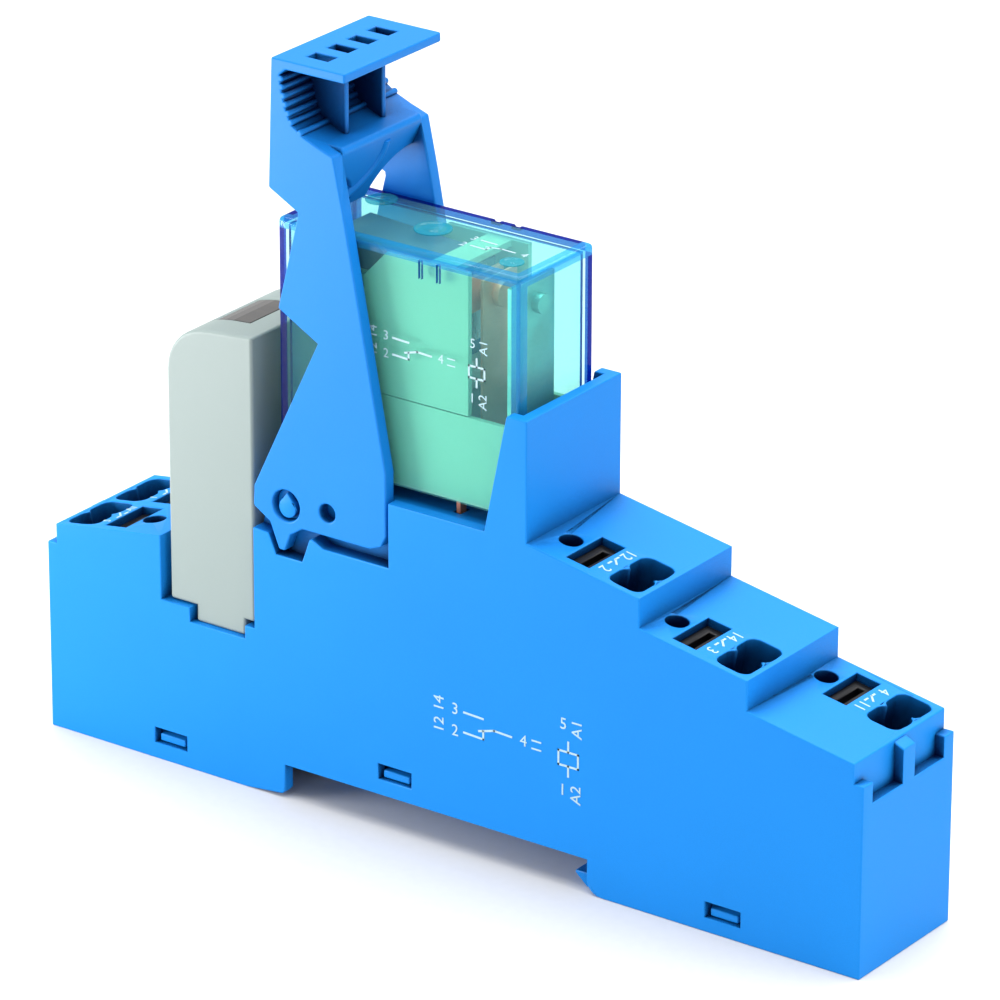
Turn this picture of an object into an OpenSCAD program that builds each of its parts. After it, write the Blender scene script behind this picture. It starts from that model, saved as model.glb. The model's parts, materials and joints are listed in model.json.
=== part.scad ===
// Plug-in relay on a 35 mm rail socket, with retaining clip and indicator module.
// Distances along the part are measured from the right end face (d) and turned
// into X by X(d); places across it are measured from the front face (f) by Y(f).

/* [Socket] */
// Length over both end faces
overall_l = 98.2; // [97:0.1:120]
// Width across the side faces
width = 15.8; // [15.6:0.1:20]
// Thickness of the side walls
wall = 1.3; // [1.1:0.1:1.4]
// Length of one terminal step
step_run = 12.4; // [12:0.1:14]
// Height of the lower edge of the lowest step
step_base_z = 22.2; // [21:0.1:26]
// Rise from one step to the next
step_rise = 5.25; // [5:0.05:6.5]
// Slope of the terminal steps in degrees
step_slope = 10; // [6:1:12]
// Height of the wall behind the relay
relay_wall_z = 47.6; // [44:0.1:50]
// Top of the rim beside the relay
rim_z = 35.1; // [34.9:0.1:36]

/* [Rail] */
// Width of the mounting rail
rail_w = 35; // [34.9:0.1:35.1]
// Depth of the rail seat above the underside
rail_seat_z = 3.65; // [3.2:0.05:4]

/* [Relay] */
// Length of the plug-in relay
relay_l = 29; // [28.5:0.1:29.2]
// Width of the plug-in relay
relay_w = 12.1; // [11.8:0.1:12.2]
// Height of the relay above its stand-offs
relay_h = 25; // [25:0.5:30]

/* [Clip] */
// Thickness of the clip's cheeks
cheek_t = 1.45; // [1.2:0.05:1.5]
// Diameter of the clip's pins
clip_pin_d = 3.2; // [2.8:0.1:3.4]
// Height of the clip above the relay
clip_head_h = 16.85; // [15:0.05:20]

/* [Module] */
// Length of the module along the socket
module_l = 10.65; // [10:0.05:10.8]
// Height of the module above its foot
module_h = 32; // [28:0.5:36]

/* [Terminals] */
// Diameter of the test holes
test_hole_d = 2.35; // [2:0.05:2.6]
// Depth of the release buttons below the steps
button_sunk = 0.8; // [0.4:0.1:1.2]

/* [Hidden] */
$fn = 48;

blue = "#2f93e6";
steel = "#b9bcc0";
copper = "#9c6a4a";
mint = "#a9e3c0";

// clearances
fit = 0.05;        // running fits, on a radius or a side
gap = 0.3;         // parts that pass each other
eps = 0.01;

// terminal steps, from the right end
ledge = 1.1;                       // the end ledge stands out this far
ledge_z = 20.1;
step3_d = ledge;
step2_d = ledge + step_run - 0.26;
step1_d = step2_d + step_run;
wall_d = step1_d + step_run + 0.76;   // right face of the wall behind the relay
step3_z = step_base_z;
step2_z = step3_z + step_rise;
step1_z = step2_z + step_rise;
function step_top(edge_z, run) = edge_z + run * tan(step_slope);

// relay
relay_d = wall_d + wall + 0.75;       // right face of the relay
relay_left_d = relay_d + relay_l;
relay_f = (width - relay_w) / 2;

// rows of terminals and pins, from the front face
row_front = relay_f + 2.3;
row_back = width - row_front;

standoff = 1.55;
seat_z = rim_z - 0.6;
relay_z = seat_z + standoff;
relay_top = relay_z + relay_h;
pocket_d = wall_d + wall;             // right end of the relay's place

// clip
clip_side = 0.15;                     // cheeks sit this far inside the side faces
clip_pivot_d = relay_left_d - 2;
clip_pivot_z = 31.7;
clip_hole_d = clip_pin_d + 2 * fit;
core_f = clip_side + cheek_t + 0.1;   // side faces of the narrow body between the cheeks
clip_top = relay_top + clip_head_h;

// module bay
bay_right_d = relay_left_d + 2.05;
bay_left_d = bay_right_d + 11.7;
bay_z = 16.2;
module_right_d = bay_right_d + gap;
module_f = 0.55;

// left terminals
left_d = overall_l - ledge;
left_z = 22.6;
left_slope = 8.7;
left_top_z = left_z + (left_d - bay_left_d) * tan(left_slope);

// rail recess
rail_right_d = 31.5;
rail_gap = rail_w + 1.65;
rail_left_d = rail_right_d + rail_gap;
hook_reach = 2.2;
hook_z = 1.55;
floor_z = 12;                         // ceiling of the wiring space

// guide block above each terminal chamber
guide = 5.5;
entry_at = 2.55;                      // places along a step from its lower edge
button_at = 8.05;
hole_at = 11;
left_button_at = 6.95;
left_hole_at = 9.6;
hole_depth = 7;
button_l = 2.7;
button_w = 6;
entry_l = 3.85;
lobe_w = 3.2;

// relay insides
shell = 0.8;                          // cover wall
inside_z = relay_z + 2.25;            // top of the relay's floor
coil_d = relay_left_d - 9.3;
yoke_d = coil_d - 9.25;               // right face of the yoke's leg
yoke_t = 1.2;
pole_z = relay_top - 3.45;
arm_t = 0.9;
arm_tilt = 3.5;                       // open angle of the armature
blade_d = yoke_d - 3.7;               // right face of the moving blade
blade_t = 0.3;
nc_d = blade_d + 1.6;
no_d = blade_d - 4.4;
contact_z = relay_top - 4.75;
pin_z = 31.4;
coil_pin_d = relay_left_d - 2.65;
push_z = relay_top - 13;              // height at which the actuator pushes

function X(d) = overall_l / 2 - d;
function Y(f) = f - width / 2;
function mirrored(f) = width - f;
function arc(cx, cy, r, a0, a1, n = 8) =
    [for (i = [0:n]) let (a = a0 + (a1 - a0) * i / n) [cx + r * cos(a), cy + r * sin(a)]];
function rounded(w, h, r) = concat(
    arc(w / 2 - r, h / 2 - r, r, 0, 90), arc(r - w / 2, h / 2 - r, r, 90, 180),
    arc(r - w / 2, r - h / 2, r, 180, 270), arc(w / 2 - r, r - h / 2, r, 270, 360));

// A side outline of [d, z] points, extruded from f0 to f1.
module prism(points, f0, f1) {
    translate([0, Y(f1), 0]) rotate([90, 0, 0]) linear_extrude(f1 - f0)
        polygon([for (p = points) [X(p[0]), p[1]]]);
}

// A box between d0 and d1 (d1 further left), f0 and f1, z0 and z1.
module box(d0, d1, f0, f1, z0, z1) {
    translate([X(d1), Y(f0), z0]) cube([d1 - d0, f1 - f0, z1 - z0]);
}

// A round pin or hole along Y from f0 to f1.
module pin_y(d, z, r, f0, f1) {
    translate([X(d), Y(f0), z]) rotate([-90, 0, 0]) cylinder(r = r, h = f1 - f0);
}

// A round pin or hole along X from d0 (right) to d1 (left).
module pin_x(f, z, r, d0, d1) {
    translate([X(d1), Y(f), z]) rotate([0, 90, 0]) cylinder(r = r, h = d1 - d0);
}

// Children placed on a terminal's sloping top: local X runs towards the middle of
// the part from the lower edge, local Z is square to the slope.
module on_terminal(t) {
    s = t[4];
    translate([X(t[1]), Y(t[3]), t[2]]) rotate([0, s * t[5], 0]) mirror([s > 0 ? 1 : 0, 0, 0]) children();
}

// [name, edge d, edge z, row, side (1 right, -1 left), slope, button at, hole at]
terminals = [
    ["11", step3_d, step3_z, row_back, 1, step_slope, button_at, hole_at],
    ["12", step1_d, step1_z, row_front, 1, step_slope, button_at, hole_at],
    ["14", step2_d, step2_z, row_front, 1, step_slope, button_at, hole_at],
    ["a1", left_d, left_z, row_front, -1, left_slope, left_button_at, left_hole_at],
    ["a2", left_d, left_z, row_back, -1, left_slope, left_button_at, left_hole_at]
];
T11 = terminals[0];
T12 = terminals[1];
T14 = terminals[2];
TA1 = terminals[3];
TA2 = terminals[4];

// d of a place that lies a distance in from a terminal's lower edge
function in_from(t, at) = t[1] + t[4] * at;

// ---------------------------------------------------------------- socket

module side_outline(f0, f1) {
    foot_r = 1.7;
    prism(concat(
        [[overall_l, 0], [overall_l, ledge_z + 0.35], [left_d, ledge_z + 0.35], [left_d, left_z],
         [bay_left_d, left_top_z], [bay_left_d, bay_z + 1.55], [bay_left_d - 3.6, bay_z + 1.55],
         [bay_left_d - 3.6, bay_z], [bay_right_d + 1.2, bay_z], [bay_right_d + 1.2, bay_z + 1.4],
         [bay_right_d, bay_z + 1.4]],
        [[bay_right_d, 28.5], [clip_pivot_d + 2.1, 28.4], [clip_pivot_d + 1.2, 26.3],
         [clip_pivot_d - 2, 26.3], [clip_pivot_d - 2.9, 28.8], [clip_pivot_d - 3.2, 29],
         [clip_pivot_d - 4.6, 28.3], [clip_pivot_d - 12.55, 28.3], [clip_pivot_d - 12.55, rim_z]],
        [[wall_d + 4.95, rim_z], [wall_d + 2.35, relay_wall_z], [wall_d, relay_wall_z],
         [wall_d, step_top(step1_z, wall_d - step1_d)], [step1_d, step1_z],
         [step1_d, step_top(step2_z, step1_d - step2_d)], [step2_d, step2_z],
         [step2_d, step_top(step3_z, step2_d - step3_d)], [step3_d, step3_z],
         [step3_d, ledge_z], [0, ledge_z], [0, 0]],
        arc(rail_right_d - foot_r, foot_r, foot_r, 270, 360),
        [[rail_right_d, rail_seat_z], [rail_left_d, rail_seat_z], [rail_left_d, 0.9],
         [rail_left_d + 0.4, 0.45], [rail_left_d + 4.9, 0]]), f0, f1);
}

module core_body() {
    prism([[bay_right_d, floor_z], [bay_right_d, 28.5], [bay_right_d - 1.2, seat_z],
           [pocket_d, seat_z], [pocket_d, floor_z]], core_f, mirrored(core_f));
}

// Pins that the clip turns on, each with a drop-shaped tip.
module clip_pins() {
    tip_f = clip_side + 0.2;
    for (side = [0, 1]) mirror([0, side, 0]) {
        pin_y(clip_pivot_d, clip_pivot_z, clip_pin_d / 2, clip_side + 0.85, core_f + eps);
        pin_y(clip_pivot_d, clip_pivot_z - 0.3, 1.05, tip_f, clip_side + 0.9);
        prism([[clip_pivot_d + 0.95, clip_pivot_z + 0.1], [clip_pivot_d, clip_pivot_z + 1.4],
               [clip_pivot_d - 0.95, clip_pivot_z + 0.1]], tip_f, clip_side + 0.9);
    }
}

module terminal_openings(t) {
    on_terminal(t) {
        for (lobe = [-1, 1]) translate([entry_at, lobe * (lobe_w / 2 + 0.05), -12])
            linear_extrude(14) polygon(rounded(entry_l, lobe_w + 0.3, 1.1));
        translate([t[6] - button_l / 2, -button_w / 2, -12]) cube([button_l, button_w, 14]);
        translate([t[7], 0, -hole_depth]) cylinder(d = test_hole_d, h = hole_depth + 2);
    }
}

module terminal_chamber(t) {
    d0 = in_from(t, 0.95);
    d1 = in_from(t, t[6] + 3.85);
    box(min(d0, d1), max(d0, d1), wall, mirrored(wall), floor_z - 1, t[2] - guide);
}

// Pockets in the end ledge, beside the posts, with a rib between them.
module ledge_pockets(inner_d, outer_d, rib_left, rib_right) {
    z0 = ledge_z - 2.2;
    for (span = [[1.7, rib_left], [rib_right, mirrored(1.7)]])
        box(min(inner_d, outer_d), max(inner_d, outer_d), span[0], span[1], z0, ledge_z + 1);
}

module end_ribs() {
    for (end = [[0, step3_d + 0.6, step3_z], [overall_l, left_d - 0.6, left_z]])
        prism([[end[0], ledge_z - 3], [end[0], end[2] - 0.75], [end[1], end[2]], [end[1], ledge_z - 3]],
              6.9, 8.95);
}

// [d, z] of the windows in both side walls that the base cover snaps into
windows = [[15.6, 2.35], [54.6, 6.2], [82.7, 2.55]];
window_l = 4;
window_h = 1.6;
module latch_windows() {
    for (w = windows)
        box(w[0] - window_l / 2, w[0] + window_l / 2, -1, width + 1,
            w[1] - window_h / 2, w[1] + window_h / 2);
}

module fixed_hook() {
    prism([[rail_right_d + hook_reach, hook_z], [rail_right_d + hook_reach, hook_z - 0.35],
           [rail_right_d + 0.8, 0], [rail_right_d - 3, 0], [rail_right_d - 3, hook_z]],
          wall - eps, mirrored(wall) + eps);
}

module pin_wells() {
    for (p = relay_pins)
        box(p[0] - 0.45, p[0] + 0.45, p[1] - 0.75, p[1] + 0.75, seat_z - 4, seat_z + 1);
    for (f = [row_front, row_back])
        box(module_pin_d - 1.45, module_pin_d + 1.45, f - 1.35, f + 1.35, floor_z - 1, bay_z + 1);
}

module wiring_space() {
    box(1.4, overall_l - 1.4, wall, mirrored(wall), -1, floor_z);
    box(pocket_d + 0.6, bay_right_d - 1.7, core_f + 1.05, mirrored(core_f + 1.05), floor_z - 1, seat_z - 1.6);
}

module socket_housing() color(blue) {
    difference() {
        union() {
            side_outline(0, width);
            core_body();
            end_ribs();
        }
        box(pocket_d, bay_right_d + 1, wall, mirrored(wall), seat_z, relay_top);
        wiring_space();
        for (t = terminals) terminal_chamber(t);
        for (t = terminals) terminal_openings(t);
        ledge_pockets(-1, step3_d, 6.9, 8.95);
        ledge_pockets(left_d, overall_l + 1, 6.9, 8.95);
        latch_windows();
        pin_wells();
    }
    fixed_hook();
    clip_pins();
}

// Stepped plate that closes the underside, with noses that snap into the windows.
module base_cover() color(blue) {
    f0 = wall + 0.1;
    f1 = mirrored(f0);
    low = 1.3;
    mid = rail_seat_z + 0.05;
    t = 1.2;
    box(1.6, rail_right_d - 3.3, f0, f1, low, low + t);
    box(rail_right_d - 4.5, rail_right_d - 3.3, f0, f1, low, mid + t);
    box(rail_right_d - 4.5, rail_left_d + 6.4, f0, f1, mid, mid + t);
    box(rail_left_d + 5.2, rail_left_d + 6.4, f0, f1, low, mid + t);
    box(rail_left_d + 5.2, overall_l - 1.6, f0, f1, low, low + t);
    for (w = windows) for (side = [0, 1]) mirror([0, side, 0]) {
        window_nose(w[0], w[1]);
        box(w[0] - nose_l / 2, w[0] + nose_l / 2, f0, f0 + 1, w[1] > mid ? mid : low, w[1] + 0.6);
    }
}

// A snap nose that stands out into a window.
nose_l = window_l - 0.8;
module window_nose(d, z) {
    box(d - nose_l / 2, d + nose_l / 2, 0.35, wall + 0.2, z - 0.65, z + 0.15);
}

latch_f0 = 5.2;
latch_z = 1.4;
latch_reach = 1.15;
// Sliding foot: a hook that grips the rail, and a tail with a slot for a screwdriver.
module rail_latch() color(steel) {
    f0 = latch_f0;
    f1 = mirrored(f0);
    z1 = 2.45;
    difference() {
        union() {
            prism([[rail_left_d - latch_reach, z1], [rail_left_d - latch_reach, z1 - 0.4],
                   [rail_left_d + 0.2, latch_z - 0.6], [rail_left_d + 3, latch_z - 0.6],
                   [rail_left_d + 3, z1]], f0, f1);
            box(rail_left_d + 1.2, rail_left_d + 2.6, f0, f1, z1 - eps, rail_seat_z - 0.05);
        }
        box(rail_left_d + 1.4, rail_left_d + 2.2, f0 + 1.4, f1 - 1.4, 0, z1 - 0.5);
    }
}

// Bow spring between the latch and the cover's inner step.
module latch_spring() color(steel) {
    start = rail_left_d + 3.05;
    stop = rail_left_d + 5.15;
    t = 0.25;
    for (f = [latch_f0 + 0.4, mirrored(latch_f0) - 1.6])
        prism([[start, 1.6], [stop - t, 1.95], [start, 2.3], [start + t, 2.3],
               [stop, 1.95], [start + t, 1.6]], f, f + 1.2);
}

// ------------------------------------------------------- terminals and wiring

module_pin_d = module_right_d + module_l / 2 - 1;
relay_pins = [
    [coil_pin_d, row_front], [coil_pin_d, row_back],
    [nc_d + 0.25, row_front], [no_d + 0.25, row_front], [blade_d + 0.15, row_back]
];

module release_button(t) color("#1c1d20") {
    l = button_l - 2 * fit;
    w = button_w - 2 * fit;
    depth = guide + t[6] * tan(t[5]);
    on_terminal(t) translate([t[6], 0, 0]) difference() {
        union() {
            translate([-l / 2, -w / 2, -depth - 1.5]) cube([l, w, depth + 1.5 - button_sunk]);
            translate([-l / 2 - 0.5, -w / 2 + 0.25, -depth - 1.5]) cube([l + 1, w - 0.5, 0.9]);
        }
        translate([-0.35, -w / 2 + 1, -button_sunk - 0.9]) cube([0.7, w - 2, 2]);
    }
}

// Loop of strip under the button, whose leg presses the wire on the contact plate.
module clamp_spring(t) color(steel) {
    s = t[4];
    c = in_from(t, t[6]);
    z = t[2] - guide - 5.2;
    ro = 2.15;
    ri = ro - 0.35;
    start = s > 0 ? 180 : 0;
    stop = start + s * 270;
    leg = in_from(t, t[6] - 2.5);
    f0 = t[3] - 2.2;
    prism(concat(arc(c, z, ro, start, stop, 20), arc(c, z, ri, stop, start, 20)), f0, f0 + 4.4);
    prism([[c, z + ro], [c, z + ri], [leg, z + ri - 0.2], [leg, z + ri + 0.2]], f0, f0 + 4.4);
}

// Contact plate of a terminal, square to the length of the part.
module terminal_plate(t, z0) {
    d = in_from(t, t[6] - 3);
    box(d - 0.35, d + 0.35, t[3] - 2.4, t[3] + 2.4, z0, t[2] - guide - 1.5);
}

// Slot for one pin.
module pin_slot(d, f, z0, z1) {
    box(d - 0.35, d + 0.35, f - 0.6, f + 0.6, z0, z1);
}

// A box with a slot that takes one pin from above.
module receptacle(d, f, z0, z1) {
    difference() {
        box(d - 1.2, d + 1.2, f - 1.1, f + 1.1, z0, z1);
        pin_slot(d, f, z0 + 0.6, z1 + 1);
    }
}

// Bus between d0 and d1, riser at d_up, in the plane from f0 on.
module bus(d0, d1, f0, z0, h, d_up, z_up) {
    t = 0.6;
    box(min(d0, d1), max(d0, d1), f0, f0 + t, z0, z0 + h);
    box(d_up - 1, d_up + 1, f0, f0 + t, z0, z_up);
}

socket_top = seat_z - 1.9;             // top of the relay receptacles
module contact_strip_11() color(copper) {
    pin = relay_pins[4];
    bus(in_from(T11, 4.8), pin[0] + 1, pin[1] - 0.3, 6.6, 2.2, pin[0], socket_top - 3);
    receptacle(pin[0], pin[1], socket_top - 4, socket_top);
    terminal_plate(T11, 6.6);
}

module contact_strip_12() color(copper) {
    pin = relay_pins[2];
    bus(in_from(T12, 4.8), pin[0] + 1, pin[1] + 0.4, 8.6, 2.4, pin[0], socket_top - 3);
    receptacle(pin[0], pin[1], socket_top - 4, socket_top);
    terminal_plate(T12, 8.6);
}

module contact_strip_14() color(copper) {
    pin = relay_pins[3];
    bus(in_from(T14, 4.8), pin[0] + 1, pin[1] - 1, 5.6, 2.4, pin[0], socket_top - 3);
    receptacle(pin[0], pin[1], socket_top - 4, socket_top);
    terminal_plate(T14, 5.6);
}

module coil_strip(t, pin) color(copper) {
    bus(pin[0] - 1, in_from(t, 3.7), pin[1] - 0.3, 6.4, 2.4, pin[0], socket_top - 3);
    box(module_pin_d - 1, module_pin_d + 1, pin[1] - 0.3, pin[1] + 0.3, 6.4, bay_z - 4);
    receptacle(pin[0], pin[1], socket_top - 4, socket_top);
    receptacle(module_pin_d, pin[1], bay_z - 4.6, bay_z - 0.6);
    terminal_plate(t, 6.4);
}

// ---------------------------------------------------------------- clip

// The hollow of the grip: height above the relay, and how far right of the pivot.
grip = [[8.75, 6.1], [8.9, 4], [9.6, 2.3], [10.4, 1.05], [12, 0.35], [14, -0.15], [15.2, -0.25]];
grip_rib_r = 0.34;
function grip_point(i) = [clip_pivot_d - grip[i][1], relay_top + grip[i][0]];

// Outline of one cheek; the upper part follows the relay's height.
module cheek_outline() {
    p = clip_pivot_d;
    z = relay_top;
    polygon([for (q = concat([
        [p + 1.27, clip_top], [p + 1.75, z + 3.5], [p - 1.7, z + 1.65], [p - 1.75, z + 1.3],
        [p + 0.75, z - 8.75], [p - 4, z - 11.4], [p + 3.95, 33], [p + 4.05, 30.8],
        [p + 2.05, 29.55], [p + 0.95, 26.85], [p + 0.2, 26.85], [p - 0.5, 28.7], [p - 1.95, 29.65],
        [p - 10.2, 29.65], [p - 11.6, 30.2], [p - 12.2, 31.4], [p - 12.2, 38],
        [p - 8.5, z - 3.8], [p - 7.2, z + 3.1], [p - 6.1, z + 8.2]],
        [for (i = [1:len(grip) - 1]) grip_point(i)],
        [[p - 0.45, clip_top - 1], [p - 7.55, clip_top - 1], [p - 7.55, clip_top]]))
        [X(q[0]), q[1]]]);
}

// Head between the cheeks: back wall, thumb plate, ribbed grip and presser wall.
module clip_head() {
    p = clip_pivot_d;
    z = relay_top;
    f0 = clip_side + cheek_t - eps;
    prism(concat(
        [[p + 1.3, z + 9.6], [p + 1.27, clip_top], [p - 7.55, clip_top], [p - 7.55, clip_top - 1],
         [p - 0.45, clip_top - 1]],
        [for (i = [len(grip) - 1:-1:0]) grip_point(i)],
        [[p - 6.4, z + 8.2], [p - 3.1, z + 0.9], [p - 1.9, z + 0.9], [p - 4.9, z + 7.6],
         [p - 2.6, z + 8.1], [p - 0.4, z + 9.2], [p + 0.6, z + 9.6]]), f0, mirrored(f0));
    for (h = [9.75:0.85:15])
        pin_y(p - lookup(h, grip), z + h, grip_rib_r, clip_side, mirrored(clip_side));
    for (side = [-1, 1]) let (f = width / 2 + side * 2.95)
        prism([[p - 0.2, clip_top - 1 + eps], [p - 4.3, clip_top - 1 + eps], [p - 4.3, z + 8.8],
               [p - 2.5, z + 9.4], [p - 1, z + 10.3], [p, z + 12]], f - 0.3, f + 0.3);
}

module retaining_clip() color(blue) difference() {
    union() {
        for (side = [0, 1]) mirror([0, side, 0])
            translate([0, Y(clip_side + cheek_t), 0]) rotate([90, 0, 0]) linear_extrude(cheek_t)
                cheek_outline();
        difference() {
            clip_head();
            // arched corners that leave a tongue in the middle of the presser wall
            for (side = [0, 1]) mirror([0, side, 0])
                pin_x(clip_side + cheek_t, relay_top + 0.4, 4.9, clip_pivot_d - 7, clip_pivot_d - 0.5);
        }
    }
    pin_y(clip_pivot_d, clip_pivot_z, clip_hole_d / 2, -1, width + 1);
    pin_y(clip_pivot_d - 5.05, clip_pivot_z + 0.45, 0.95, -1, width + 1);
    for (i = [-1.5:1:1.5])
        box(clip_pivot_d - 3.9, clip_pivot_d - 1.35, width / 2 + i * 3.2 - 0.75, width / 2 + i * 3.2 + 0.75,
            clip_top - 2, clip_top + 1);
}

// ---------------------------------------------------------------- relay

module relay_cover() color("#7fd6e8", 0.4) difference() {
    box(relay_d, relay_left_d, relay_f, mirrored(relay_f), relay_z + 0.3, relay_top);
    box(relay_d + shell, relay_left_d - shell, relay_f + shell, mirrored(relay_f + shell),
        relay_z - 1, relay_top - shell);
}

module relay_base() color(mint) {
    f0 = relay_f + shell + fit;
    f1 = mirrored(f0);
    d0 = relay_d + shell + fit;
    d1 = relay_left_d - shell - fit;
    difference() {
        box(d0, d1, f0, f1, relay_z, inside_z);
        for (p = relay_pins) box(p[0] - 0.35, p[0] + 0.35, p[1] - 0.6, p[1] + 0.6, relay_z - 1, inside_z + 1);
    }
    for (f = [f0, f1 - 0.6]) box(d0 + 1, d0 + 17, f, f + 0.6, inside_z - eps, relay_z + 9);
    for (d = [d0, d1 - 1.2]) for (f = [f0, f1 - 1.6]) box(d, d + 1.2, f, f + 1.6, seat_z, relay_z + eps);
}

wall_f = relay_f + shell + fit;
module insulating_wall() color(mint) {
    z0 = relay_z + 9.1;
    right = nc_d - 1.6;
    for (side = [0, 1]) mirror([0, side, 0])
        prism([[right, z0], [yoke_d + 8.8, z0], [yoke_d + 8.8, relay_top - 4.2],
               [yoke_d + 6, relay_top - 1.2], [right, relay_top - 1.2]], wall_f, wall_f + 0.6);
    box(nc_d + 0.4, yoke_d + 1.2, wall_f + 0.6 - eps, mirrored(wall_f + 0.6) + eps,
        relay_top - 1.9, relay_top - 1.2);
}

coil_r = 4.35;
coil_z0 = inside_z + 1.9;
coil_z1 = pole_z - 0.9;
module bobbin() color(mint) {
    flange_l = 15.6;
    flange_f = relay_f + shell + 0.75;
    difference() {
        union() {
            for (z = [coil_z0, coil_z1 - 1])
                box(coil_d - 7.6, coil_d - 7.6 + flange_l, flange_f, mirrored(flange_f), z, z + 1);
            translate([X(coil_d), 0, coil_z0]) cylinder(r = 2.7, h = coil_z1 - coil_z0);
            box(coil_pin_d - 1.1, coil_pin_d + 1.1, flange_f, mirrored(flange_f),
                inside_z + 0.1, coil_z0 + eps);
        }
        translate([X(coil_d), 0, 0]) cylinder(r = 2.2, h = 100);
        for (f = [row_front, row_back])
            pin_slot(coil_pin_d, f, 0, coil_z0 + 2);
    }
}

module coil_winding() color("#a8472a") translate([X(coil_d), 0, coil_z0 + 1.05]) difference() {
    cylinder(r = coil_r, h = coil_z1 - coil_z0 - 2.1);
    translate([0, 0, -1]) cylinder(r = 2.75, h = 100);
}

module coil_core() color(steel) {
    translate([X(coil_d), 0, inside_z + 0.2]) cylinder(r = 2.1, h = pole_z - inside_z - 0.3);
    translate([X(coil_d), 0, coil_z1 + 0.1]) cylinder(r = 3.6, h = pole_z - coil_z1 - 0.1);
}

module yoke() color(steel) {
    f0 = width / 2 - 4;
    f1 = width / 2 + 4;
    z0 = inside_z + 0.5;
    difference() {
        union() {
            box(yoke_d, yoke_d + yoke_t, f0, f1, z0, pole_z);
            box(yoke_d, coil_d + 3.6, f0, f1, z0, z0 + yoke_t);
        }
        translate([X(coil_d), 0, 0]) cylinder(r = 2.15, h = 100);
    }
}

// Bent plate: the leg stands beside the yoke and the flag rises over the pole.
module armature() color(steel) {
    f0 = width / 2 - 3;
    f1 = width / 2 + 3;
    box(yoke_d - arm_t - 0.1, yoke_d - 0.1, f0, f1, push_z - 1.5, pole_z + 0.95);
    translate([X(yoke_d), 0, pole_z + 0.05]) rotate([0, arm_tilt, 0])
        translate([-14.6, -3.6, 0]) cube([14.7, 7.2, arm_t]);
}

module return_spring() color(steel) {
    f0 = width / 2 - 1.2;
    box(yoke_d - arm_t - 0.35, yoke_d - arm_t - 0.12, f0, f0 + 2.4, push_z + 3, pole_z + 0.8);
}

module actuator() color("#e8e4d8") {
    right = yoke_d - arm_t - 0.1;
    nose = blade_d + blade_t + 0.1;
    f0 = width / 2 - 2.2;
    f1 = width / 2 + 2.2;
    box(right - 0.9, right, f0, f1, push_z - 1.5, push_z + 1.5);
    box(nose + 0.15, right - 0.9 + eps, f0, f1, push_z - 0.6, push_z + 0.6);
    prism([[nose, push_z - 0.25], [nose, push_z + 0.25], [nose + 0.2, push_z + 0.6],
           [nose + 0.2, push_z - 0.6]], f0, f1);
}

blade_f0 = width / 2 - 2.8;
blade_f1 = width / 2 + 2.8;
blade_foot_z = inside_z + 0.6;
module moving_contact() color(copper) {
    box(blade_d, blade_d + blade_t, blade_f0, blade_f1, blade_foot_z + 0.1, contact_z + 2);
    pin_x(width / 2, contact_z, 1.3, blade_d - 0.7, blade_d + blade_t + 0.7);
}

module common_terminal() color(copper) {
    box(blade_d - 0.6, blade_d + 0.9, blade_f0, row_back + 0.5, inside_z + 0.05, blade_foot_z);
    box(blade_d - 0.1, blade_d + 0.4, row_back - 0.5, row_back + 0.5, pin_z, inside_z + 0.1);
}

module contact_nc() color(copper) {
    box(nc_d, nc_d + 0.5, row_front - 0.5, row_front + 0.5, pin_z, contact_z - 1.7);
    box(nc_d, nc_d + 0.5, row_front - 0.5, blade_f1, contact_z - 1.8, contact_z + 1.8);
    pin_x(width / 2, contact_z, 1.3, blade_d + blade_t + 0.75, nc_d + eps);
}

module contact_no() color(steel) {
    box(no_d, no_d + 0.5, row_front - 0.5, row_front + 0.5, pin_z, inside_z + 1);
    box(no_d, no_d + 0.5, row_front - 0.5, blade_f1, inside_z + 0.9, contact_z + 2.6);
    pin_x(width / 2, contact_z, 1.3, no_d + 0.49, blade_d - 0.7 - 1.2);
    pin_x(width / 2, contact_z, 1, no_d - 0.8, no_d + 0.1);
}

module coil_pins() color(steel)
    for (f = [row_front, row_back])
        box(coil_pin_d - 0.25, coil_pin_d + 0.25, f - 0.5, f + 0.5, pin_z, coil_z0 + 0.9);

// ---------------------------------------------------------------- module

module_top = bay_z + module_h;
shoulder = 5;
function module_outline(inset, z0) = let (
    r = module_right_d + inset, l = module_right_d + module_l - inset, top = module_top - inset) concat(
    [[r, z0], [r, top], [r + 5.2, top - 0.45]],
    [for (a = [80:-10:10]) [l - shoulder + shoulder * cos(a), top - 0.6 - shoulder + shoulder * sin(a)]],
    [[l, top - 0.6 - shoulder], [l, z0]]);

lens_f0 = width / 2 - 3.4;
lens_d0 = module_right_d + 3.2;
lens_d1 = module_right_d + 7.6;
module module_housing() color("#b3b5b0") difference() {
    union() {
        prism(module_outline(0, bay_z + 1.7), module_f, mirrored(module_f));
        box(module_right_d + 1.2, module_right_d + 7.4, module_f, mirrored(module_f), bay_z, bay_z + 1.8);
    }
    prism(module_outline(1.1, bay_z + 1.6), module_f + 1.1, mirrored(module_f + 1.1));
    box(lens_d0, lens_d1, lens_f0, mirrored(lens_f0), module_top - 6, module_top + 1);
    for (f = [row_front, row_back])
        pin_slot(module_pin_d, f, bay_z - 1, bay_z + 3);
}

module module_lens() color("#2a2c30", 0.8) intersection() {
    box(lens_d0 + fit, lens_d1 - fit, lens_f0 + fit, mirrored(lens_f0 + fit),
        module_top - 3.5, module_top + 1);
    difference() {
        prism(module_outline(0.1, bay_z + 8), 0, width);
        prism(module_outline(1, bay_z + 7), -1, width + 1);
    }
}

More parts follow.
